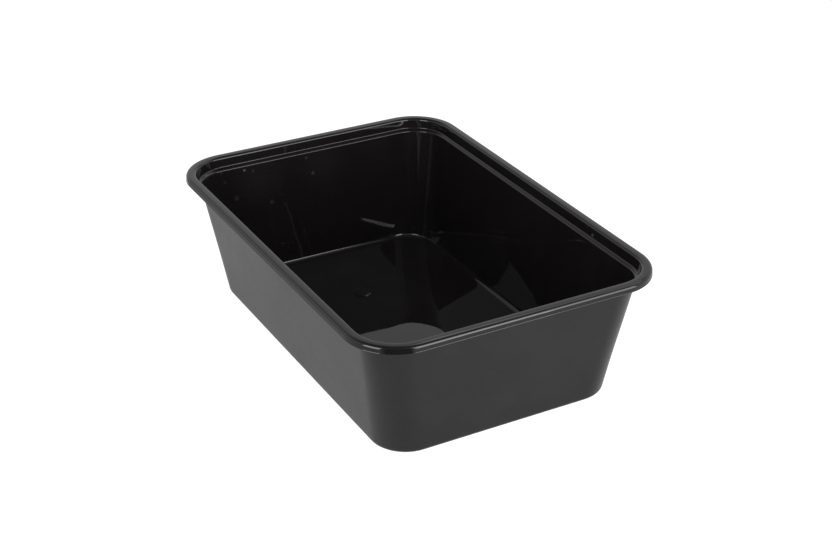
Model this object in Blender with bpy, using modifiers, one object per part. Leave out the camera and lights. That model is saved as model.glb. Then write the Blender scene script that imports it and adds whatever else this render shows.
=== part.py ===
"""Takeaway meal container: a thin moulded tub with tapered walls, a lid seat and a flanged rim.

The tub stands on Z = 0 with its long side along X and its short side along Y. Its food-side skin
is lofted through rounded rectangles and then thickened downwards, so the flange stays hollow
beneath and the wall keeps one thickness. Metres, +Z up.
"""

import math

import bmesh
import bpy
from mathutils import Vector

NAME = "meal_container"

# Rim: the widest part, seen from above
RIM_LENGTH = 0.1720
RIM_WIDTH = 0.1186
RIM_CORNER = 0.0192
HEIGHT = 0.0506

# Flange and the skirt that hangs from its outer edge
FLANGE_WIDTH = 0.0040
FLANGE_OUTER_FILLET = 0.00115
FLANGE_INNER_FILLET = 0.0010
SKIRT_DEPTH = 0.0023

# Lid seat: a sloping ledge below the rim, between the upright band and the tapered wall
BAND_DEPTH = 0.0042
BAND_DRAFT = 0.00075
BAND_FILLET = 0.0005
LEDGE_WIDTH = 0.00165
LEDGE_DROP = 0.0005
LEDGE_FILLET = 0.0006

# Tapered wall and floor; the side walls lean in a little more than the end walls
WALL_THICKNESS = 0.00065
FLOOR_END_INSET = 0.0128
FLOOR_SIDE_INSET = 0.01335
FLOOR_CORNER = 0.01295
FLOOR_FILLET = 0.0014

# Moulding marks: two raised buttons on the floor, each with a centre nib and a hollow beneath
BUTTON_SPACING = 0.0720
BUTTON_RADIUS = 0.0038
BUTTON_HEIGHT = 0.0006
NIB_RADIUS = 0.0006
NIB_HEIGHT = 0.0003
BUTTON_TAPER = 0.9

CORNER_STEPS = 12
FILLET_STEPS = 4
WALL_STEPS = 4
ROUND_SEGMENTS = 32
SMOOTH_ANGLE = math.radians(35)

SEAT_Z = HEIGHT - BAND_DEPTH
LEDGE_Z = SEAT_Z - LEDGE_DROP
BAND_INSET = FLANGE_WIDTH + BAND_DRAFT
WALL_TOP_INSET = BAND_INSET + LEDGE_WIDTH
FLOOR_Z = WALL_THICKNESS


def clear_scene():
    for old in list(bpy.data.objects):
        bpy.data.objects.remove(old, do_unlink=True)


def new_collection(name):
    collection = bpy.data.collections.new(name)
    bpy.context.scene.collection.children.link(collection)
    return collection


def black_plastic():
    material = bpy.data.materials.new("black polypropylene")
    material.use_nodes = True
    shader = material.node_tree.nodes["Principled BSDF"]
    shader.inputs["Base Color"].default_value = (0.012, 0.012, 0.013, 1.0)
    shader.inputs["Roughness"].default_value = 0.25
    shader.inputs["Metallic"].default_value = 0.0
    return material


def add_object(name, bm, collection, material=None):
    """Turn a bmesh into a smooth-shaded object of the given collection."""
    mesh = bpy.data.meshes.new(name)
    bm.to_mesh(mesh)
    bm.free()
    mesh.shade_smooth()
    mesh.set_sharp_from_angle(angle=SMOOTH_ANGLE)
    if material:
        mesh.materials.append(material)
    obj = bpy.data.objects.new(name, mesh)
    collection.objects.link(obj)
    return obj


def rounded_corner(before, corner, after, radius):
    """Points of an arc of this radius that replaces the corner between two straight runs."""
    to_before = (before - corner).normalized()
    to_after = (after - corner).normalized()
    half_angle = to_before.angle(to_after) / 2
    tangent_length = radius / math.tan(half_angle)
    centre = corner + (to_before + to_after).normalized() * radius / math.sin(half_angle)
    start = corner + to_before * tangent_length - centre
    end = corner + to_after * tangent_length - centre
    steps = range(FILLET_STEPS + 1)
    return [centre + radius * start.slerp(end, step / FILLET_STEPS) for step in steps]


def skin_profile():
    """The end wall's food side from floor to skirt foot, as (inset from the rim edge, height)."""
    floor_middle = Vector((RIM_LENGTH / 2, FLOOR_Z))
    floor_edge = Vector((FLOOR_END_INSET, FLOOR_Z))
    wall_top = Vector((WALL_TOP_INSET, LEDGE_Z))
    band_foot = Vector((BAND_INSET, SEAT_Z))
    band_top = Vector((FLANGE_WIDTH, HEIGHT))
    flange_edge = Vector((0.0, HEIGHT))
    skirt_foot = Vector((0.0, HEIGHT - SKIRT_DEPTH))

    floor_arc = rounded_corner(floor_middle, floor_edge, wall_top, FLOOR_FILLET)
    ledge_arc = rounded_corner(floor_edge, wall_top, band_foot, LEDGE_FILLET)
    wall = [floor_arc[-1].lerp(ledge_arc[0], step / WALL_STEPS) for step in range(1, WALL_STEPS)]
    profile = floor_arc + wall + ledge_arc
    profile += rounded_corner(wall_top, band_foot, band_top, BAND_FILLET)
    profile += rounded_corner(band_foot, band_top, flange_edge, FLANGE_INNER_FILLET)
    profile += rounded_corner(band_top, flange_edge, skirt_foot, FLANGE_OUTER_FILLET)
    profile.append(skirt_foot)
    return profile


def plan_shape(inset, z):
    """Half length, half width and corner radius of the tub's outline at a profile point.

    Above the ledge the corners are concentric with the rim. Below it the corner and the side
    walls' extra lean blend from their values at the floor to those of the rim.
    """
    drop = max(0.0, (LEDGE_Z - z) / (LEDGE_Z - FLOOR_Z))
    side_lean = (FLOOR_SIDE_INSET - FLOOR_END_INSET) * drop
    corner_extra = (FLOOR_CORNER + FLOOR_END_INSET - RIM_CORNER) * drop
    half_length = RIM_LENGTH / 2 - inset
    half_width = RIM_WIDTH / 2 - inset - side_lean
    return half_length, half_width, RIM_CORNER - inset + corner_extra


def add_rounded_rectangle(bm, inset, z):
    """A closed ring of points, counter-clockwise from above."""
    half_length, half_width, radius = plan_shape(inset, z)
    reach_x = half_length - radius
    reach_y = half_width - radius
    ring = []
    for quarter, (side_x, side_y) in enumerate(((1, 1), (-1, 1), (-1, -1), (1, -1))):
        for step in range(CORNER_STEPS + 1):
            angle = math.pi / 2 * (quarter + step / CORNER_STEPS)
            x = side_x * reach_x + radius * math.cos(angle)
            y = side_y * reach_y + radius * math.sin(angle)
            ring.append(bm.verts.new((x, y, z)))
    return ring


def build_skin(collection, material):
    """The tub as an open loft that faces the food side, thickened to the underside."""
    bm = bmesh.new()
    rings = [add_rounded_rectangle(bm, inset, z) for inset, z in skin_profile()]
    bm.faces.new(rings[0])
    for inner, outer in zip(rings, rings[1:]):
        for i in range(len(inner)):
            bm.faces.new((inner[i], inner[i - 1], outer[i - 1], outer[i]))

    tub = add_object(NAME, bm, collection, material)
    shell = tub.modifiers.new("wall thickness", "SOLIDIFY")
    shell.thickness = WALL_THICKNESS
    shell.offset = -1.0
    shell.use_even_offset = True
    return tub


def add_round(name, radius, bottom_z, top_z, collection, taper=1.0):
    """An upright round at the origin, narrowed to taper times its radius at the top."""
    bm = bmesh.new()
    bmesh.ops.create_cone(
        bm, cap_ends=True, segments=ROUND_SEGMENTS,
        radius1=radius, radius2=radius * taper, depth=top_z - bottom_z,
    )
    bmesh.ops.translate(bm, vec=(0, 0, (top_z + bottom_z) / 2), verts=bm.verts)
    return add_object(name, bm, collection)


def hide_tool(obj):
    obj.hide_render = True
    obj.display_type = "WIRE"


def add_buttons(tub, tools):
    """Join two moulding buttons to the floor and hollow each one from beneath."""
    button_top = FLOOR_Z + BUTTON_HEIGHT
    sunk = FLOOR_Z / 2
    hollow_radius = BUTTON_RADIUS - WALL_THICKNESS
    for side in (-1, 1):
        steps = (
            ("button", "UNION", BUTTON_RADIUS, sunk, button_top, BUTTON_TAPER),
            ("nib", "UNION", NIB_RADIUS, button_top - sunk, button_top + NIB_HEIGHT, BUTTON_TAPER),
            ("hollow", "DIFFERENCE", hollow_radius, -FLOOR_Z, BUTTON_HEIGHT, 1.0),
        )
        for label, operation, radius, bottom_z, top_z, taper in steps:
            tool = add_round(f"{label} {side:+d}", radius, bottom_z, top_z, tools, taper)
            tool.location.x = side * BUTTON_SPACING / 2
            hide_tool(tool)
            join = tub.modifiers.new(tool.name, "BOOLEAN")
            join.operation = operation
            join.object = tool


def main():
    clear_scene()
    parts = new_collection(NAME)
    tools = new_collection("boolean tools")
    tub = build_skin(parts, black_plastic())
    add_buttons(tub, tools)


main()
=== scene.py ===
# %% [markdown]
# A black takeaway tub is one thin skin of polypropylene, moulded in a single shot. The CAD model
# has its shape. What it lacks is the finish: an inside as glossy as a mirror, a satin outside,
# soft edges that catch the light, and the small waves that a thin wall always has. This script
# loads the CAD as a fixed frame, models the tub again inside it with Blender's own tools, and
# lights it as a small studio would.

import math

import bmesh
import bpy
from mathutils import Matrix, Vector


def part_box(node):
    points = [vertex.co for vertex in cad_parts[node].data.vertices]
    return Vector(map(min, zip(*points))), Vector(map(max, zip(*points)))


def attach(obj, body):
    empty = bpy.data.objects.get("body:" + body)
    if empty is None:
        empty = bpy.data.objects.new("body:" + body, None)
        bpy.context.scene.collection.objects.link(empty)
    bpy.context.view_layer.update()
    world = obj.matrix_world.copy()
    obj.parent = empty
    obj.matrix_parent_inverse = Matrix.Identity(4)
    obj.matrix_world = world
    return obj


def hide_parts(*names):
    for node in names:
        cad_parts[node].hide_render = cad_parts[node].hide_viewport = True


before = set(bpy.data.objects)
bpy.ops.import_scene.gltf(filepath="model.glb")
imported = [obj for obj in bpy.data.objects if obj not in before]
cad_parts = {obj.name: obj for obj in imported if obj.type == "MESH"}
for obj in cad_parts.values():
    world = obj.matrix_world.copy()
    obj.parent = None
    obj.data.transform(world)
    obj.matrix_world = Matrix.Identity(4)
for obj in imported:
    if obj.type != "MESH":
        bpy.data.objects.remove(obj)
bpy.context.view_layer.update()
MM = 0.001

tub_low, tub_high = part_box("meal_container")
rim_length, rim_width, height = tub_high - tub_low
print(f"The tub is {rim_length / MM:.1f} x {rim_width / MM:.1f} x {height / MM:.1f} mm")

# %% [markdown]
# A camera is best placed first, because everything after it is judged through it. It could be
# moved by eye until the rim fits. Here its place and direction come from fitting the rim's four
# corners and the floor's outline, which leaves one answer: about 63 cm away, 28 degrees above the
# tub's floor, with a lens of 70 mm.

# %% Camera
LENS = 70.34
CAMERA_PLACE = (0.47755, -0.25834, 0.31434)
CAMERA_LOOK = (-0.77292, 0.42499, -0.47114)

camera_data = bpy.data.cameras.new("camera")
camera_data.lens = LENS
camera_data.sensor_width = 36.0
camera = bpy.data.objects.new("camera", camera_data)
bpy.context.scene.collection.objects.link(camera)
camera.location = CAMERA_PLACE
camera.rotation_euler = Vector(CAMERA_LOOK).to_track_quat("-Z", "Y").to_euler()
bpy.context.scene.camera = camera
bpy.context.scene.view_settings.view_transform = "Standard"
print(f"The camera stands {camera.location.length:.2f} m from the tub")

# %% [markdown]
# Black gloss plastic has hardly any colour of its own. What is seen on it is the room, so the
# room is most of the picture. A small node helper comes first: every material and the world are
# made of nodes, and placing them by hand in code soon gets long.

# %% A helper for nodes
def add_node(tree, kind, place, **settings):
    """A new node at a place in the node editor, with some of its settings changed."""
    node = tree.nodes.new(kind)
    node.location = place
    for name, value in settings.items():
        setattr(node, name, value)
    return node


def join(tree, *ends):
    """Links sockets in pairs: from, to, from, to."""
    for start, end in zip(ends[::2], ends[1::2]):
        tree.links.new(start, end)


def ramp_stops(node, stops):
    """Fills a Color Ramp with grey stops, given as (position, value)."""
    stop_list = node.color_ramp.elements
    while len(stop_list) < len(stops):
        stop_list.new(1.0)
    for stop, (position, value) in zip(stop_list, stops):
        stop.position = position
        stop.color = (value, value, value, 1.0)


def add_fade(tree, place, start_and_end, values):
    """A Map Range node that passes softly from one value to another."""
    node = add_node(tree, "ShaderNodeMapRange", place, interpolation_type="SMOOTHSTEP")
    numbers = (*start_and_end, *values)
    for socket, number in zip(("From Min", "From Max", "To Min", "To Max"), numbers):
        node.inputs[socket].default_value = number
    return node


def new_material(name):
    """A material made of nodes, and the Principled BSDF in it."""
    material = bpy.data.materials.new(name)
    material.use_nodes = True
    return material, material.node_tree.nodes["Principled BSDF"]

# %% [markdown]
# The room around the tub is a white sweep that fades to a dark ceiling. An image of a studio
# could light it, but a gradient by height is enough, and it can be adjusted by number. The rim is
# nearly level and mirrors what is about 28 degrees up behind the tub. The inside mirrors the
# ceiling, and stays black.

# %% The room
ROOM_STOPS = (
    (0.00, 0.75),
    (0.34, 0.82),
    (0.42, 0.74),
    (0.48, 0.62),
    (0.66, 0.40),
    (0.80, 0.13),
    (1.00, 0.08),
)

world = bpy.data.worlds.new("studio room")
world.use_nodes = True
bpy.context.scene.world = world
room = world.node_tree
room_background = room.nodes["Background"]
direction = add_node(room, "ShaderNodeTexCoord", (-900, 0))
axes = add_node(room, "ShaderNodeSeparateXYZ", (-700, 0))
room_ramp = add_node(room, "ShaderNodeValToRGB", (-500, 0))
ramp_stops(room_ramp, ROOM_STOPS)
join(
    room,
    direction.outputs["Generated"], axes.inputs["Vector"],
    axes.outputs["Z"], room_ramp.inputs["Fac"],
    room_ramp.outputs["Color"], room_background.inputs["Color"],
)
print(f"The room fades from pale to dark over {len(ROOM_STOPS)} stops")

# %% [markdown]
# The tub stands on a plain white floor. White paper under bright lights would show a shadow, and
# hiding it takes many lamps. A floor that glows a little by itself does the same. In a finished
# product picture such a floor is brightened to pure white, but the tub still mirrors it as it
# was, a little greyer, and greyer still in the foreground, further from the lights. So the paper
# glows fully for what the camera sees directly, and by a second, weaker value that falls off
# along Y for what the plastic mirrors.

# %% The floor
FLOOR_SIZE = 12.0
SEEN_GLOW = 0.97
FRONT_Y, FRONT_GLOW = -0.115, 0.28
BACK_Y, BACK_GLOW = -0.070, 0.50

bpy.ops.object.select_all(action="DESELECT")
bpy.ops.mesh.primitive_plane_add(size=FLOOR_SIZE, location=(0, 0, -0.1 * MM))
floor = bpy.context.object
floor.name = "studio_floor"

paper, paper_shader = new_material("white studio floor")
paper_shader.inputs["Base Color"].default_value = (0.2, 0.2, 0.2, 1.0)
paper_shader.inputs["Roughness"].default_value = 0.9
paper_shader.inputs["Specular IOR Level"].default_value = 0.0
paper_shader.inputs["Emission Color"].default_value = (1.0, 1.0, 1.0, 1.0)
seen_directly = add_node(paper.node_tree, "ShaderNodeLightPath", (-700, 0))
place_on_floor = add_node(paper.node_tree, "ShaderNodeTexCoord", (-1100, -200))
floor_axes = add_node(paper.node_tree, "ShaderNodeSeparateXYZ", (-900, -200))
mirrored_glow = add_fade(paper.node_tree, (-700, -200), (FRONT_Y, BACK_Y), (FRONT_GLOW, BACK_GLOW))
glow = add_node(paper.node_tree, "ShaderNodeMapRange", (-400, 0))
glow.inputs["To Max"].default_value = SEEN_GLOW
join(
    paper.node_tree,
    place_on_floor.outputs["Object"], floor_axes.inputs["Vector"],
    floor_axes.outputs["Y"], mirrored_glow.inputs["Value"],
    mirrored_glow.outputs["Result"], glow.inputs["To Min"],
    seen_directly.outputs["Is Camera Ray"], glow.inputs["Value"],
    glow.outputs["Result"], paper_shader.inputs["Emission Strength"],
)
floor.data.materials.append(paper)

# %% [markdown]
# Six area lights draw the highlights. A softbox stands close on the right, with a second one
# beside it, and makes the bright lines on the rim, the ledge and the foot of the far wall. One to
# the left of the camera makes the second dash in the back corner. A wide bank high up behind the
# tub keeps the rim's curves grey where they would mirror the dark ceiling. A bank beside it does
# the same further right, and is dimmer, because the tub's floor would turn too bright. The last
# light hangs overhead and only lifts the black: the plastic doesn't mirror it. An area light's
# brightness to the eye is its power divided by pi and by its area, so the helper takes that
# brightness and works out the power.

# %% The softboxes
def add_softbox(name, place, size, glow):
    """An upright area light of this width and height that faces the tub, this bright."""
    lamp = bpy.data.lights.new(name, "AREA")
    lamp.shape = "RECTANGLE"
    lamp.size, lamp.size_y = size
    lamp.energy = glow * math.pi * size[0] * size[1]
    box = bpy.data.objects.new(name, lamp)
    bpy.context.scene.collection.objects.link(box)
    box.location = place
    to_tub = Vector((0, 0, height)) - box.location
    to_tub.z = 0.0
    box.rotation_euler = to_tub.to_track_quat("-Z", "Y").to_euler()
    box.visible_camera = False
    print(f"{name}: {lamp.energy:.2f} W")
    return box


add_softbox("right softbox", place=(0.385, 0.07, 0.16), size=(0.20, 0.30), glow=5.5)
add_softbox("right fill", place=(0.36, 0.25, 0.16), size=(0.16, 0.30), glow=4.0)
add_softbox("left softbox", place=(0.148, -0.331, 0.16), size=(0.18, 0.26), glow=5.0)
add_softbox("back bank", place=(-0.25, 0.58, 0.90), size=(0.90, 0.60), glow=0.9)
add_softbox("right bank", place=(0.60, 0.45, 0.90), size=(1.00, 0.60), glow=0.30)
top_fill = add_softbox("top fill", place=(0.0, 0.0, 1.20), size=(0.60, 0.60), glow=4.0)
top_fill.rotation_euler = (0, 0, 0)
top_fill.visible_glossy = False

# %% [markdown]
# Between the highlights the rounded rim is nearly black at the front corner. Photographers draw
# such a dark edge with a flag, a black card that stands close by, just outside the picture. Here
# the card stands in front of the camera instead, and only mirrored light can see it. It grows
# see-through towards its two ends, so the dark stretch of the rim fades out softly.

# %% The black flag
FLAG_WIDTH = 0.15
FLAG_HEIGHT = 0.12
FLAG_PLACE = (0.163, -0.079, FLAG_HEIGHT / 2)
FLAG_TURN = math.radians(63)
FLAG_FADE = (0.26, 0.50)

bpy.ops.object.select_all(action="DESELECT")
bpy.ops.mesh.primitive_plane_add(size=1.0, location=FLAG_PLACE)
flag = bpy.context.object
flag.name = "black_flag"
flag.scale = (FLAG_WIDTH, FLAG_HEIGHT, 1.0)
flag.rotation_euler = (math.radians(90), 0, FLAG_TURN)
flag.visible_camera = False
flag.visible_diffuse = False
flag.visible_shadow = False

velvet, velvet_shader = new_material("black card")
velvet_shader.inputs["Base Color"].default_value = (0.02, 0.02, 0.02, 1.0)
velvet_shader.inputs["Roughness"].default_value = 0.9
place_on_card = add_node(velvet.node_tree, "ShaderNodeTexCoord", (-900, 0))
across = add_node(velvet.node_tree, "ShaderNodeSeparateXYZ", (-700, 0))
from_middle = add_node(velvet.node_tree, "ShaderNodeMath", (-500, 0), operation="ABSOLUTE")
feather = add_fade(velvet.node_tree, (-300, 0), FLAG_FADE, (1.0, 0.0))
join(
    velvet.node_tree,
    place_on_card.outputs["Object"], across.inputs["Vector"],
    across.outputs["X"], from_middle.inputs[0],
    from_middle.outputs[0], feather.inputs["Value"],
    feather.outputs["Result"], velvet_shader.inputs["Alpha"],
)
flag.data.materials.append(velvet)

# %% [markdown]
# The tub is modelled the way a mould maker thinks of it: one surface, the side that touches the
# food, and then a wall thickness behind it. All the steps act on faces or edges picked by where
# they are. By hand that is a click with Alt held down; in code it is a test that runs over the
# whole mesh.

# %% A helper that picks faces, edges or points
PARTS = {"VERT": "verts", "EDGE": "edges", "FACE": "faces"}
LEVEL = 0.005 * MM
NEAR = 0.1 * MM


def pick(kind, test):
    """Selects what passes the test in edit mode, and nothing else. Gives how many there are."""
    bpy.ops.mesh.select_mode(type=kind)
    bpy.ops.mesh.select_all(action="DESELECT")
    mesh_data = bpy.context.object.data
    mesh = bmesh.from_edit_mesh(mesh_data)
    chosen = [part for part in getattr(mesh, PARTS[kind]) if test(part)]
    for part in chosen:
        part.select_set(True)
    bmesh.update_edit_mesh(mesh_data)
    return len(chosen)


def at_height(part, z):
    """True where every point of a face or edge lies at this height."""
    return all(abs(corner.co.z - z) < LEVEL for corner in part.verts)

# %% [markdown]
# Seen from above, the rim is a rectangle with round corners. A bezier outline would do, but a
# plane whose four corners are bevelled as points gives the same arcs and is already a face that
# the next steps can work on. Sixteen steps a corner look round even in the close mirror of the
# back corner. The outline is drawn a little inside the full size, which leaves room for the lip
# at the skirt's foot.

# %% The rim's outline
LIP = 0.12 * MM
RIM_CORNER = 19.2 * MM - LIP
CORNER_STEPS = 16

bpy.ops.object.select_all(action="DESELECT")
bpy.ops.mesh.primitive_plane_add(size=1.0, location=(0, 0, height))
tub = bpy.context.object
tub.name = "tub"
tub.data.name = "tub"
tub.scale = (rim_length - 2 * LIP, rim_width - 2 * LIP, 1.0)
bpy.ops.object.transform_apply(location=True, rotation=True, scale=True)

bpy.ops.object.mode_set(mode="EDIT")
bpy.ops.mesh.select_all(action="SELECT")
bpy.ops.mesh.bevel(affect="VERTICES", offset=RIM_CORNER, segments=CORNER_STEPS, profile=0.5)
print(f"The outline has {len(bmesh.from_edit_mesh(tub.data).verts)} points")

# %% [markdown]
# From the rim inwards the tub is a flange, an upright band, a narrow ledge that carries the lid,
# and then the deep dish. Each is one inset of the middle face, and an inset may sink at the same
# time, which gives the band its slight lean and the ledge its slope. An inset with even offset
# keeps the corners concentric, as they are on the real rim. The flange takes two insets, so that
# it can be crowned later.

# %% Flange, band and ledge
FLANGE_WIDTH = 3.88 * MM
FLANGE_CREST = 2.0 * MM
BAND_DEPTH = 4.2 * MM
BAND_LEAN = 0.75 * MM
LEDGE_WIDTH = 1.65 * MM
LEDGE_DROP = 0.5 * MM
SIDE_LEDGE_LESS = 0.4 * MM
seat_z = height - BAND_DEPTH
ledge_z = seat_z - LEDGE_DROP

bpy.ops.mesh.select_all(action="SELECT")
bpy.ops.mesh.inset(thickness=FLANGE_CREST, use_even_offset=True)
bpy.ops.mesh.inset(thickness=FLANGE_WIDTH - FLANGE_CREST, use_even_offset=True)
bpy.ops.mesh.inset(thickness=BAND_LEAN, depth=-BAND_DEPTH, use_even_offset=True)
bpy.ops.mesh.inset(thickness=LEDGE_WIDTH, depth=-LEDGE_DROP, use_even_offset=True)
for side in (-1, 1):
    pick("VERT", lambda point: abs(point.co.z - ledge_z) < NEAR and point.co.y * side > 0)
    bpy.ops.transform.translate(value=(0, side * SIDE_LEDGE_LESS, 0))
pick("FACE", lambda face: at_height(face, ledge_z))
print(f"The ledge lies {ledge_z / MM:.1f} mm up and is {LEDGE_WIDTH / MM:.2f} mm wide")

# %% [markdown]
# The dish is the middle face again, extruded down to the floor. Its walls lean in so that the tub
# leaves its mould and stacks. Scaling the floor would squeeze the corners as well, so each end
# and each side is moved in by itself, and the corner arcs keep their radius. Two more insets give
# the floor rings of its own, which its dome needs.

# %% The dish
WALL_THICKNESS = 0.65 * MM
END_LEAN = 6.4 * MM
SIDE_LEAN = 7.35 * MM
FLOOR_RING = 4.5 * MM
floor_z = WALL_THICKNESS

bpy.ops.mesh.extrude_region_move(TRANSFORM_OT_translate={"value": (0, 0, floor_z - ledge_z)})
for axis, lean in enumerate((END_LEAN, SIDE_LEAN)):
    for side in (-1, 1):
        shift = [0.0, 0.0, 0.0]
        shift[axis] = -side * lean
        pick("VERT", lambda point: abs(point.co.z - floor_z) < NEAR and point.co[axis] * side > 0)
        bpy.ops.transform.translate(value=shift)
pick("FACE", lambda face: at_height(face, floor_z))
bpy.ops.mesh.inset(thickness=FLOOR_RING, use_even_offset=True)
bpy.ops.mesh.inset(thickness=FLOOR_RING, use_even_offset=True)
print(f"The floor lies {floor_z / MM:.2f} mm up")

# %% [markdown]
# A short skirt hangs from the flange's outer edge and stiffens it. The outer edges are selected
# by being the only ones with a face on just one side, and are extruded straight down. A second,
# much shorter extrusion is scaled out to the full size. That is the lip where the mould's two
# halves met, and it draws the thin light line under the rim.

# %% The skirt and its lip
SKIRT_DEPTH = 2.5 * MM
LIP_DEPTH = 0.24 * MM
skirt_z = height - SKIRT_DEPTH

pick("EDGE", lambda edge: edge.is_boundary)
bpy.ops.mesh.extrude_region_move(TRANSFORM_OT_translate={"value": (0, 0, LIP_DEPTH - SKIRT_DEPTH)})
bpy.ops.mesh.extrude_region_move(TRANSFORM_OT_translate={"value": (0, 0, -LIP_DEPTH)})
to_full_size = (rim_length / (rim_length - 2 * LIP), rim_width / (rim_width - 2 * LIP), 1.0)
bpy.ops.transform.resize(value=to_full_size, center_override=(0, 0, skirt_z))
print(f"The skirt ends {skirt_z / MM:.1f} mm up, with a lip of {LIP / MM:.2f} mm")

# %% [markdown]
# The top of the flange is not level: it is very slightly crowned, so its two halves mirror
# different heights of the room. The ring of points along its middle stays up, and the rings on
# either side of it are lowered by less than a tenth of a millimetre. On so glossy a surface that
# is enough to show.

# %% The flange's crown
OUTER_CROWN = 0.05 * MM
INNER_CROWN = 0.04 * MM
straight_x = rim_length / 2 - LIP - RIM_CORNER
straight_y = rim_width / 2 - LIP - RIM_CORNER


def rim_inset(point):
    """How far a place lies inside the rim's outline, measured level and square to it."""
    past_x = abs(point.x) - straight_x
    past_y = abs(point.y) - straight_y
    reach = math.hypot(max(past_x, 0.0), max(past_y, 0.0))
    return RIM_CORNER - reach - min(max(past_x, past_y), 0.0)


def lower_ring(inset, crown):
    """Lowers the flange's points that lie this far inside the rim's outline."""

    def in_ring(point):
        return point.co.z > height - LEVEL and abs(rim_inset(point.co) - inset) < NEAR

    lowered = pick("VERT", in_ring)
    bpy.ops.transform.translate(value=(0, 0, -crown))
    print(f"{lowered} points lowered by {crown / MM:.2f} mm")


lower_ring(0.0, OUTER_CROWN)
lower_ring(FLANGE_WIDTH, INNER_CROWN)

# %% [markdown]
# The walls of a real tub are never quite flat: they bow a little between the corners, and the
# mirrored lines on them are wavy. Long faces can't bow, so the whole mesh is cut into columns
# with bisect, across and lengthwise, and the steep edges are subdivided into rows.

# %% Cuts for the waves
CUTS_ALONG = 30
CUTS_ACROSS = 18
WALL_ROWS = 11


def cut(axis, place):
    """Cuts the whole mesh with an upright plane across one axis."""
    normal = [0.0, 0.0, 0.0]
    normal[axis] = 1.0
    point = [place * part for part in normal]
    bpy.ops.mesh.select_all(action="SELECT")
    bpy.ops.mesh.bisect(plane_co=point, plane_no=normal)


reach_x = straight_x - END_LEAN - MM
reach_y = straight_y - SIDE_LEAN - MM
for axis, reach, cuts in ((0, reach_x, CUTS_ALONG), (1, reach_y, CUTS_ACROSS)):
    for step in range(cuts):
        cut(axis, reach * (2 * step / (cuts - 1) - 1))


def is_wall_edge(edge):
    """True for an edge that runs from the floor up to the ledge."""
    heights = sorted(point.co.z for point in edge.verts)
    return heights[0] < floor_z + MM and heights[1] > ledge_z - MM


steep = pick("EDGE", is_wall_edge)
bpy.ops.mesh.subdivide(number_cuts=WALL_ROWS)
bpy.ops.object.mode_set(mode="OBJECT")
print(f"{CUTS_ALONG + CUTS_ACROSS} cuts, and {WALL_ROWS} rows over {steep} wall edges")

# %% [markdown]
# Three soft distortions follow. The floor is domed upwards by a fifth of a millimetre, so that
# the tub stands on its edge and not on its middle. The walls bow outwards by a tenth, and they
# also swell and sink by up to a quarter in broad waves, because the plastic shrank unevenly as it
# cooled. Each is a Displace modifier, and a vertex group says how much of it each point gets:
# nothing at the folds, which stay true, and all of it in the middle.

# %% A helper for modifiers
def apply_modifier(piece, kind, **settings):
    """Adds a modifier with these settings and applies it."""
    modifier = piece.modifiers.new(kind.lower(), kind)
    for name, value in settings.items():
        setattr(modifier, name, value)
    bpy.context.view_layer.objects.active = piece
    bpy.ops.object.modifier_apply(modifier=modifier.name)


def weigh(name, share):
    """A vertex group in which each point's weight is its share, from 0 to 1."""
    group = tub.vertex_groups.new(name=name)
    for point in tub.data.vertices:
        group.add([point.index], max(0.0, min(1.0, share(point.co))), "REPLACE")

# %% The floor's dome, and the walls' bow and waves
FLOOR_DOME = 0.2 * MM
WALL_BOW = 0.1 * MM
WAVE_HEIGHT = 0.5 * MM
WAVE_LENGTH = 46 * MM
WAVE_FADE = 0.6
wall_top = FLANGE_WIDTH + BAND_LEAN + LEDGE_WIDTH
floor_x = straight_x + RIM_CORNER - wall_top - END_LEAN
floor_y = straight_y + RIM_CORNER - wall_top + SIDE_LEDGE_LESS - SIDE_LEAN


def dome_share(place):
    """1 in the middle of the floor, 0 at its edge and everywhere else."""
    if place.z > floor_z + LEVEL:
        return 0.0
    return (1 - (place.x / floor_x) ** 2) * (1 - (place.y / floor_y) ** 2)


def wave_share(place):
    """1 halfway up the walls, 0 at the floor and the ledge."""
    climb = (place.z - floor_z) / (ledge_z - floor_z)
    return math.sin(math.pi * climb) ** WAVE_FADE if 0 < climb < 0.999 else 0.0


def bow_share(place):
    """1 in the middle of each wall, 0 at its corners, the floor and the ledge."""
    on_end = abs(place.x) - straight_x > abs(place.y) - straight_y
    along = place.y / straight_y if on_end else place.x / straight_x
    return wave_share(place) * max(0.0, 1 - along ** 2)


weigh("dome", dome_share)
weigh("bow", bow_share)
weigh("wave", wave_share)
shrinkage = bpy.data.textures.new("shrinkage waves", "CLOUDS")
shrinkage.noise_scale = WAVE_LENGTH
shrinkage.noise_depth = 1
apply_modifier(
    tub, "DISPLACE", vertex_group="dome", direction="Z", strength=FLOOR_DOME, mid_level=0.0,
)
apply_modifier(
    tub, "DISPLACE", vertex_group="bow", direction="NORMAL", strength=-WALL_BOW, mid_level=0.0,
)
apply_modifier(
    tub, "DISPLACE", vertex_group="wave", direction="NORMAL", texture=shrinkage,
    texture_coords="LOCAL", strength=WAVE_HEIGHT, mid_level=0.5,
)
tub.vertex_groups.clear()
print(f"Dome {FLOOR_DOME / MM:.2f}, bow {WALL_BOW / MM:.2f}, waves {WAVE_HEIGHT / MM / 2:.2f} mm")

# %% [markdown]
# So far the tub is a surface without thickness. Solidify adds the other side behind it, all
# round, with even thickness. Offset -1 keeps the food side where it is. The underside of the
# flange stays hollow, as it is on the real rim. The folds are still sharp here, and that is on
# purpose: a curve tighter than the wall is thick would fold over itself on its far side.

# %% Wall thickness
apply_modifier(tub, "SOLIDIFY", thickness=WALL_THICKNESS, offset=-1.0, use_even_offset=True)
print(f"The tub has {len(tub.data.polygons)} faces and a wall of {WALL_THICKNESS / MM:.2f} mm")

# %% [markdown]
# Every edge of a moulded tub is rounded, and those narrow curves carry the brightest highlights.
# A fold is found by the angle between its two faces, which tells it from the soft steps of a
# corner, and by its place in the tub's section. Bevel takes the distance from the fold to where
# the curve begins, which is the radius times the tangent of half the fold.

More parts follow.
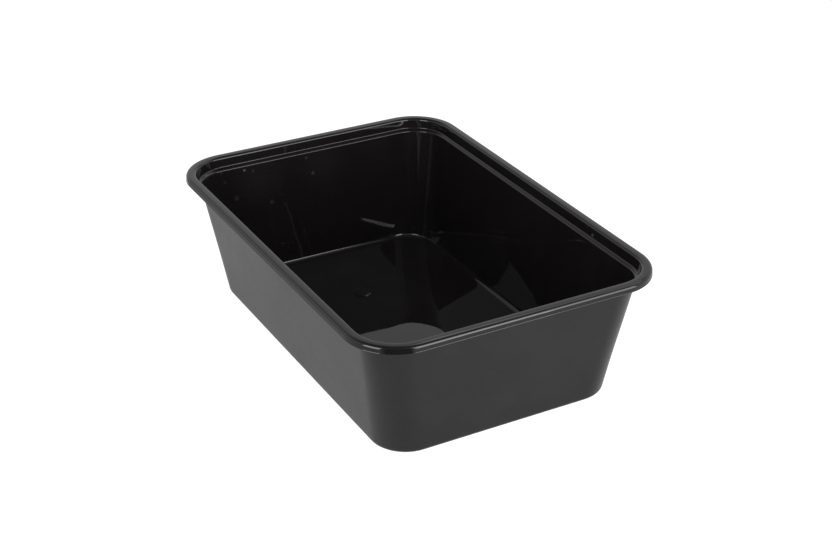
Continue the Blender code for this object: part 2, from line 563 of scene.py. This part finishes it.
# %% The rounded edges
ROUND_STEPS = 5
FOLD_ANGLE = math.radians(40)
FOLD_REACH = 0.16 * MM


def round_fold(where, z, inset, radius):
    """Rounds the folded edges near this height, between two insets from the rim in mm."""

    def in_ring(edge):
        middle = (edge.verts[0].co + edge.verts[1].co) / 2
        level = abs(middle.z - z) < FOLD_REACH
        near = level and inset[0] * MM < rim_inset(middle) < inset[1] * MM
        return near and len(edge.link_faces) == 2 and edge.calc_face_angle() > FOLD_ANGLE

    edges = pick("EDGE", in_ring)
    mesh = bmesh.from_edit_mesh(tub.data)
    folds = [edge.calc_face_angle() for edge in mesh.edges if edge.select]
    fold = sum(folds) / len(folds)
    bpy.ops.mesh.bevel(
        affect="EDGES", offset_type="OFFSET", offset=radius * MM * math.tan(fold / 2),
        segments=ROUND_STEPS, profile=0.5, clamp_overlap=False, loop_slide=True,
    )
    print(f"{where}: {edges} edges folded by {math.degrees(fold):.0f} degrees, radius {radius} mm")


bpy.ops.object.mode_set(mode="EDIT")
round_fold("foot of the walls, inside", floor_z, (10, 18), 1.9)
round_fold("top of the walls, inside", ledge_z, (5.5, 7.0), 0.6)
round_fold("seat of the lid", seat_z, (4.2, 5.0), 0.55)
round_fold("inner edge of the rim", height - INNER_CROWN, (3.5, 4.2), 1.0)
round_fold("outer edge of the rim", height - OUTER_CROWN, (-0.2, 0.2), 1.15)
round_fold("foot of the walls, outside", 0.0, (10, 18), 2.05)
round_fold("under the ledge", ledge_z - 0.55 * MM, (4.8, 6.2), 0.4)
round_fold("behind the seat", seat_z - 0.55 * MM, (3.6, 4.6), 0.9)
round_fold("hollow behind the rim's inner edge", height - 0.67 * MM, (2.9, 3.6), 0.35)
round_fold("hollow behind the rim's outer edge", height - 0.7 * MM, (0.4, 0.9), 0.5)
round_fold("foot of the lip", skirt_z, (-0.3, 0.2), 0.12)
round_fold("foot of the skirt, inside", skirt_z - 0.25 * MM, (0.3, 0.85), 0.15)
bpy.ops.object.mode_set(mode="OBJECT")

# %% [markdown]
# Two round buttons stand on the floor. Pins in the mould leave them, each with a small nib in its
# centre and a hollow beneath. A button is a short cylinder. Its top edge is bevelled first, and
# then its top face is inset and extruded up for the nib. Boolean joins it to the floor, and a
# second cylinder cuts the hollow.

# %% The moulding buttons
BUTTON_SPACING = 72.0 * MM
BUTTON_RADIUS = 3.8 * MM
BUTTON_HEIGHT = 0.6 * MM
BUTTON_ROUND = 0.5 * MM
BUTTON_STEPS = 6
NIB_RADIUS = 0.6 * MM
NIB_HEIGHT = 0.3 * MM
NIB_ROUND = 0.2 * MM
NIB_STEPS = 3
ROUND_POINTS = 48


def add_round(name, x, radius, bottom, top):
    """An upright cylinder that stands between two heights, left in edit mode."""
    bpy.ops.object.select_all(action="DESELECT")
    bpy.ops.mesh.primitive_cylinder_add(
        vertices=ROUND_POINTS, radius=radius, depth=top - bottom,
        location=(x, 0, (bottom + top) / 2),
    )
    bpy.context.object.name = name
    bpy.ops.object.transform_apply(location=True, rotation=True, scale=True)
    bpy.ops.object.mode_set(mode="EDIT")
    return bpy.context.object


def merge_into_tub(tool, operation):
    """Joins a closed shape to the tub or cuts it away, and removes the tool."""
    bpy.ops.object.mode_set(mode="OBJECT")
    apply_modifier(tub, "BOOLEAN", object=tool, operation=operation, solver="EXACT")
    bpy.data.objects.remove(tool, do_unlink=True)


button_foot = floor_z + FLOOR_DOME * dome_share(Vector((BUTTON_SPACING / 2, 0, floor_z)))
button_top = button_foot + BUTTON_HEIGHT
hollow_radius = BUTTON_RADIUS - WALL_THICKNESS
for x in (-BUTTON_SPACING / 2, BUTTON_SPACING / 2):
    button = add_round("button", x, BUTTON_RADIUS, button_foot - floor_z / 2, button_top)
    pick("EDGE", lambda edge: at_height(edge, button_top))
    bpy.ops.mesh.bevel(affect="EDGES", offset=BUTTON_ROUND, segments=BUTTON_STEPS, profile=0.5)
    pick("FACE", lambda face: at_height(face, button_top))
    bpy.ops.mesh.inset(thickness=BUTTON_RADIUS - BUTTON_ROUND - NIB_RADIUS)
    bpy.ops.mesh.extrude_region_move(TRANSFORM_OT_translate={"value": (0, 0, NIB_HEIGHT)})
    pick("EDGE", lambda edge: at_height(edge, button_top + NIB_HEIGHT))
    bpy.ops.mesh.bevel(affect="EDGES", offset=NIB_ROUND, segments=NIB_STEPS, profile=0.5)
    merge_into_tub(button, "UNION")
    hollow = add_round("hollow", x, hollow_radius, -floor_z, button_top - WALL_THICKNESS)
    merge_into_tub(hollow, "DIFFERENCE")
print(f"Two buttons, {BUTTON_SPACING / MM:.0f} mm apart, {BUTTON_HEIGHT / MM:.1f} mm high")

# %% [markdown]
# Shading is smooth except over sharp folds. A mirror shows every wrong normal, so the wide faces
# should keep their own direction and leave all the turning to the narrow curves between them. The
# Weighted Normal modifier does that: the larger a face, the more it counts.

# %% Smooth shading
SHARP_ANGLE = math.radians(35)

bpy.ops.object.select_all(action="DESELECT")
tub.select_set(True)
bpy.context.view_layer.objects.active = tub
bpy.ops.object.shade_smooth_by_angle(angle=SHARP_ANGLE)
apply_modifier(tub, "WEIGHTED_NORMAL", mode="FACE_AREA", weight=50, keep_sharp=True)
triangles = sum(len(face.vertices) - 2 for face in tub.data.polygons)
print(f"The tub has {triangles} triangles")

# %% [markdown]
# Three effects lie over the bare plastic, and every finish uses them, so each is a node group
# with its own inputs. The first is the ripple of the moulding: shallow dents one to two
# centimetres wide, finer than the waves that are modelled, which make mirrored edges wander. It
# gives out a height for a Bump node.

# %% The ripple of the moulding
def new_group(name, inputs, outputs):
    """A shader node group with these number inputs and outputs, and its two end nodes."""
    group = bpy.data.node_groups.new(name, "ShaderNodeTree")
    for socket, value in inputs.items():
        made = group.interface.new_socket(socket, in_out="INPUT", socket_type="NodeSocketFloat")
        made.default_value = value
    for socket in outputs:
        group.interface.new_socket(socket, in_out="OUTPUT", socket_type="NodeSocketFloat")
    group_in = add_node(group, "NodeGroupInput", (-1100, 0))
    return group, group_in, add_node(group, "NodeGroupOutput", (700, 0))


def add_math(tree, operation, place, *values):
    """A Math node with its numbers set where they are given."""
    node = add_node(tree, "ShaderNodeMath", place, operation=operation)
    for socket, value in zip(node.inputs, values):
        if value is not None:
            socket.default_value = value
    return node


def add_noise(tree, place, scale, detail=2.0, roughness=0.5):
    """A Noise Texture with this many features to a metre."""
    node = add_node(tree, "ShaderNodeTexNoise", place)
    node.inputs["Scale"].default_value = scale
    node.inputs["Detail"].default_value = detail
    node.inputs["Roughness"].default_value = roughness
    return node


BROAD_DENTS = 55.0
FINE_DENTS = 210.0
ripple, ripple_in, ripple_out = new_group(
    "moulding ripple", {"Broad": 1.0, "Fine": 0.2}, ["Height"],
)
place_on_tub = add_node(ripple, "ShaderNodeTexCoord", (-1100, -250))
broad = add_noise(ripple, (-700, 100), BROAD_DENTS, detail=1.0)
fine = add_noise(ripple, (-700, -200), FINE_DENTS, detail=2.0)
broad_height = add_math(ripple, "MULTIPLY", (-400, 100))
fine_height = add_math(ripple, "MULTIPLY", (-400, -200))
ripple_sum = add_math(ripple, "ADD", (-100, 0))
join(
    ripple,
    place_on_tub.outputs["Object"], broad.inputs["Vector"],
    place_on_tub.outputs["Object"], fine.inputs["Vector"],
    broad.outputs["Fac"], broad_height.inputs[0],
    ripple_in.outputs["Broad"], broad_height.inputs[1],
    fine.outputs["Fac"], fine_height.inputs[0],
    ripple_in.outputs["Fine"], fine_height.inputs[1],
    broad_height.outputs[0], ripple_sum.inputs[0],
    fine_height.outputs[0], ripple_sum.inputs[1],
    ripple_sum.outputs[0], ripple_out.inputs["Height"],
)
print(f"{ripple.name}: {len(ripple.nodes)} nodes")

# %% [markdown]
# The second is dust and handling. Static makes black plastic collect specks, and fingers leave
# dull smudges. Specks are the near parts of Voronoi cells, thinned out by the cell's own random
# colour so that most cells stay clean, and bent by a noise so that none is a perfect disc.
# Smudges are a cloudy noise through a steep ramp. Both come out as masks from 0 to 1.
#
# A few drops of water have dried high on the far end wall, and two wide ones are breaths of haze.
# Each is a place and a radius in millimetres and a strength. It fades with the distance to that
# place, and where two overlap the stronger one counts.

# %% Dust, smudges and dried drops
VECTOR_A, VECTOR_B, VECTOR_MIXED = 4, 5, 1
SPECK_CELLS = 140.0
SPECK_BEND = 0.0015
BEND_NOISE = 900.0
SMUDGE_CLOUDS = 42.0
DROPS = (
    ((-79.2, -27.3, 43.1), 1.3, 0.30),
    ((-79.5, -40.9, 45.1), 1.0, 0.20),
    ((-78.9, -39.8, 40.7), 1.2, 0.22),
    ((-79.3, -3.5, 43.7), 1.0, 0.40),
    ((-78.3, -1.1, 36.8), 1.3, 0.45),
    ((-77.1, -20.5, 28.6), 1.4, 0.32),
    ((-77.7, -35.6, 33.4), 1.7, 0.28),
    ((-78.6, -26.0, 39.0), 15.0, 0.07),
    ((-79.2, 3.0, 40.0), 14.0, 0.05),
)
dust, dust_in, dust_out = new_group(
    "dust and smudges", {"Speck size": 0.1, "Share of cells": 0.3, "Smudges": 1.0},
    ["Specks", "Smudges", "Drops"],
)
place_on_tub = add_node(dust, "ShaderNodeTexCoord", (-1100, -250))
bend = add_noise(dust, (-900, -450), BEND_NOISE, detail=1.0)
bent_place = add_node(dust, "ShaderNodeMix", (-700, -300), data_type="VECTOR")
bent_place.inputs["Factor"].default_value = SPECK_BEND
cells = add_node(dust, "ShaderNodeTexVoronoi", (-500, -100))
cells.inputs["Scale"].default_value = SPECK_CELLS
cell_number = add_node(dust, "ShaderNodeSeparateColor", (-300, -250))
is_near = add_math(dust, "LESS_THAN", (-100, 0))
speck_radius = add_math(dust, "MULTIPLY", (-300, 100))
is_dusty = add_math(dust, "LESS_THAN", (-100, -250))
specks = add_math(dust, "MULTIPLY", (200, 0))
cloud = add_noise(dust, (-500, -600), SMUDGE_CLOUDS, detail=5.0, roughness=0.62)
cloud_ramp = add_node(dust, "ShaderNodeValToRGB", (-200, -600))
ramp_stops(cloud_ramp, ((0.50, 0.0), (0.72, 1.0)))
smudge_amount = add_math(dust, "MULTIPLY", (200, -400))
join(
    dust,
    place_on_tub.outputs["Object"], bend.inputs["Vector"],
    place_on_tub.outputs["Object"], bent_place.inputs[VECTOR_A],
    bend.outputs["Color"], bent_place.inputs[VECTOR_B],
    bent_place.outputs[VECTOR_MIXED], cells.inputs["Vector"],
    cells.outputs["Color"], cell_number.inputs["Color"],
    cell_number.outputs["Green"], speck_radius.inputs[0],
    dust_in.outputs["Speck size"], speck_radius.inputs[1],
    cells.outputs["Distance"], is_near.inputs[0],
    speck_radius.outputs[0], is_near.inputs[1],
    cell_number.outputs["Red"], is_dusty.inputs[0],
    dust_in.outputs["Share of cells"], is_dusty.inputs[1],
    is_near.outputs[0], specks.inputs[0],
    is_dusty.outputs[0], specks.inputs[1],
    specks.outputs[0], dust_out.inputs["Specks"],
    place_on_tub.outputs["Object"], cloud.inputs["Vector"],
    cloud.outputs["Fac"], cloud_ramp.inputs["Fac"],
    cloud_ramp.outputs["Color"], smudge_amount.inputs[0],
    dust_in.outputs["Smudges"], smudge_amount.inputs[1],
    smudge_amount.outputs[0], dust_out.inputs["Smudges"],
)

strongest = None
for number, (centre, radius, strength) in enumerate(DROPS):
    row = -900 - 200 * number
    to_drop = add_node(dust, "ShaderNodeVectorMath", (-500, row), operation="DISTANCE")
    to_drop.inputs[1].default_value = [part * MM for part in centre]
    in_drop = add_fade(dust, (-300, row), (0.0, radius * MM), (strength, 0.0))
    join(
        dust,
        place_on_tub.outputs["Object"], to_drop.inputs[0],
        to_drop.outputs["Value"], in_drop.inputs["Value"],
    )
    drop = in_drop.outputs["Result"]
    if strongest:
        stronger = add_math(dust, "MAXIMUM", (-100, row))
        join(dust, strongest, stronger.inputs[0], drop, stronger.inputs[1])
        drop = stronger.outputs[0]
    strongest = drop
join(dust, strongest, dust_out.inputs["Drops"])
print(f"{dust.name}: {len(dust.nodes)} nodes")

# %% [markdown]
# The third is the grain of the steel. The outer half of the mould was only ground, so its surface
# is a fine mottle with faint marks that run up the walls, where the tub slides out. The food side
# has a trace of it. A Mapping node stretches one noise upwards for the marks, and a very fine one
# makes the mottle.

# %% The grain of the mould
MARK_STRETCH = 0.03
MARKS_ACROSS = 1500.0
MOTTLE_DOTS = 2600.0
grain, grain_in, grain_out = new_group(
    "mould grain", {"Mottle": 1.0, "Drag marks": 0.5}, ["Grain"],
)
place_on_tub = add_node(grain, "ShaderNodeTexCoord", (-1100, -250))
stretch = add_node(grain, "ShaderNodeMapping", (-900, -250))
stretch.inputs["Scale"].default_value = (1.0, 1.0, MARK_STRETCH)
marks = add_noise(grain, (-700, -250), MARKS_ACROSS, detail=3.0)
mottle = add_noise(grain, (-700, 100), MOTTLE_DOTS, detail=3.0, roughness=0.6)
mottle_share = add_math(grain, "MULTIPLY", (-400, 100))
mark_share = add_math(grain, "MULTIPLY", (-400, -250))
grain_sum = add_math(grain, "ADD", (-100, 0))
join(
    grain,
    place_on_tub.outputs["Object"], stretch.inputs["Vector"],
    stretch.outputs["Vector"], marks.inputs["Vector"],
    place_on_tub.outputs["Object"], mottle.inputs["Vector"],
    mottle.outputs["Fac"], mottle_share.inputs[0],
    grain_in.outputs["Mottle"], mottle_share.inputs[1],
    marks.outputs["Fac"], mark_share.inputs[0],
    grain_in.outputs["Drag marks"], mark_share.inputs[1],
    mottle_share.outputs[0], grain_sum.inputs[0],
    mark_share.outputs[0], grain_sum.inputs[1],
    grain_sum.outputs[0], grain_out.inputs["Grain"],
)
print(f"{grain.name}: {len(grain.nodes)} nodes")

# %% [markdown]
# Inside, the tub shines almost like glass, because that half of the mould is polished, and the
# rim shines with it. The walls' outside was left satin. All three are the same black plastic, so
# one function builds them and only the numbers differ. The bare colour is far darker than black
# paint: nearly all the light that comes off it is mirrored. A share of dust in the colour lifts
# it where specks, smudges and dried drops lie.

# %% The plastic
DUST_COLOUR = (0.03, 0.03, 0.03, 1.0)
HAZE_FROM_SMUDGES = 0.10
HAZE_FROM_DROPS = 2.1
SPECK_DULLNESS = 0.5
RELIEF_DEPTH = 0.03 * MM
COLOUR_A, COLOUR_B, COLOUR_MIXED = 6, 7, 2


def plastic(name, colour, roughness, smudge_gain, groups):
    """Black polypropylene: its colour, its roughness, what smudges add, the groups' inputs."""
    material, shader = new_material(name)
    tree = material.node_tree
    shader.inputs["IOR"].default_value = 1.49

    placed = []
    for number, (group, values) in enumerate(groups):
        node = add_node(tree, "ShaderNodeGroup", (-1200, 300 - 300 * number), node_tree=group)
        for socket, value in values.items():
            node.inputs[socket].default_value = value
        placed.append(node)
    ripple_node, dust_node, grain_node = placed

    haze = add_math(tree, "MULTIPLY_ADD", (-1000, 500), None, HAZE_FROM_SMUDGES)
    haze_and_drops = add_math(tree, "MULTIPLY_ADD", (-800, 500), None, HAZE_FROM_DROPS)
    tint = add_node(tree, "ShaderNodeMix", (-500, 300), data_type="RGBA")
    tint.inputs[COLOUR_A].default_value = (*colour, 1.0)
    tint.inputs[COLOUR_B].default_value = DUST_COLOUR
    shine = add_math(tree, "MULTIPLY_ADD", (-800, 0), None, smudge_gain, roughness)
    dull = add_math(tree, "MULTIPLY_ADD", (-500, 0), None, SPECK_DULLNESS)
    relief = add_math(tree, "ADD", (-800, -300))
    bump_node = add_node(tree, "ShaderNodeBump", (-400, -300))
    bump_node.inputs["Strength"].default_value = 1.0
    bump_node.inputs["Distance"].default_value = RELIEF_DEPTH
    join(
        tree,
        dust_node.outputs["Smudges"], haze.inputs[0],
        dust_node.outputs["Specks"], haze.inputs[2],
        dust_node.outputs["Drops"], haze_and_drops.inputs[0],
        haze.outputs[0], haze_and_drops.inputs[2],
        haze_and_drops.outputs[0], tint.inputs["Factor"],
        tint.outputs[COLOUR_MIXED], shader.inputs["Base Color"],
        dust_node.outputs["Smudges"], shine.inputs[0],
        dust_node.outputs["Specks"], dull.inputs[0],
        shine.outputs[0], dull.inputs[2],
        dull.outputs[0], shader.inputs["Roughness"],
        ripple_node.outputs["Height"], relief.inputs[0],
        grain_node.outputs["Grain"], relief.inputs[1],
        relief.outputs[0], bump_node.inputs["Height"],
        bump_node.outputs["Normal"], shader.inputs["Normal"],
    )
    tub.data.materials.append(material)
    print(f"{name}: roughness {roughness}")


plastic(
    "glossy black inside", (0.0068, 0.0058, 0.0065), 0.015, 0.04,
    (
        (ripple, {"Broad": 1.0, "Fine": 0.04}),
        (dust, {"Speck size": 0.12, "Share of cells": 0.08, "Smudges": 1.0}),
        (grain, {"Mottle": 0.003, "Drag marks": 0.0}),
    ),
)
plastic(
    "satin black outside", (0.0030, 0.0030, 0.0030), 0.27, 0.05,
    (
        (ripple, {"Broad": 1.0, "Fine": 0.1}),
        (dust, {"Speck size": 0.10, "Share of cells": 0.05, "Smudges": 1.0}),
        (grain, {"Mottle": 0.06, "Drag marks": 0.06}),
    ),
)
plastic(
    "polished black rim", (0.0065, 0.0058, 0.0062), 0.07, 0.04,
    (
        (ripple, {"Broad": 0.5, "Fine": 0.04}),
        (dust, {"Speck size": 0.08, "Share of cells": 0.05, "Smudges": 1.0}),
        (grain, {"Mottle": 0.01, "Drag marks": 0.0}),
    ),
)

# %% [markdown]
# Which finish a face has follows from where it is. It is satin when it looks down, or when it
# looks away from the tub's middle and lies under the skirt's foot. The flange and the skirt are
# the rim's finish. All the rest is gloss.

# %% Which face has which finish
GLOSS, SATIN, RIM = range(3)
rim_foot = skirt_z - 0.3 * MM


def finish_of(face):
    """The number of the material that this face of the tub wears."""
    centre = face.center
    looks_out = face.normal.x * centre.x + face.normal.y * centre.y > 0
    if face.normal.z < -0.5:
        return SATIN
    if looks_out and face.normal.z < 0.0 and centre.z < rim_foot:
        return SATIN
    return RIM if rim_inset(centre) < FLANGE_WIDTH and centre.z > rim_foot else GLOSS


counts = [0, 0, 0]
for face in tub.data.polygons:
    face.material_index = finish_of(face)
    counts[face.material_index] += 1
print(f"{counts[GLOSS]} faces are gloss, {counts[SATIN]} satin and {counts[RIM]} rim")

# %% [markdown]
# Last, the tub takes the CAD node's place. It rides on the CAD's only body, and keeps inside its
# box.

# %% Hand over
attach(tub, "root")
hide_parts("meal_container")
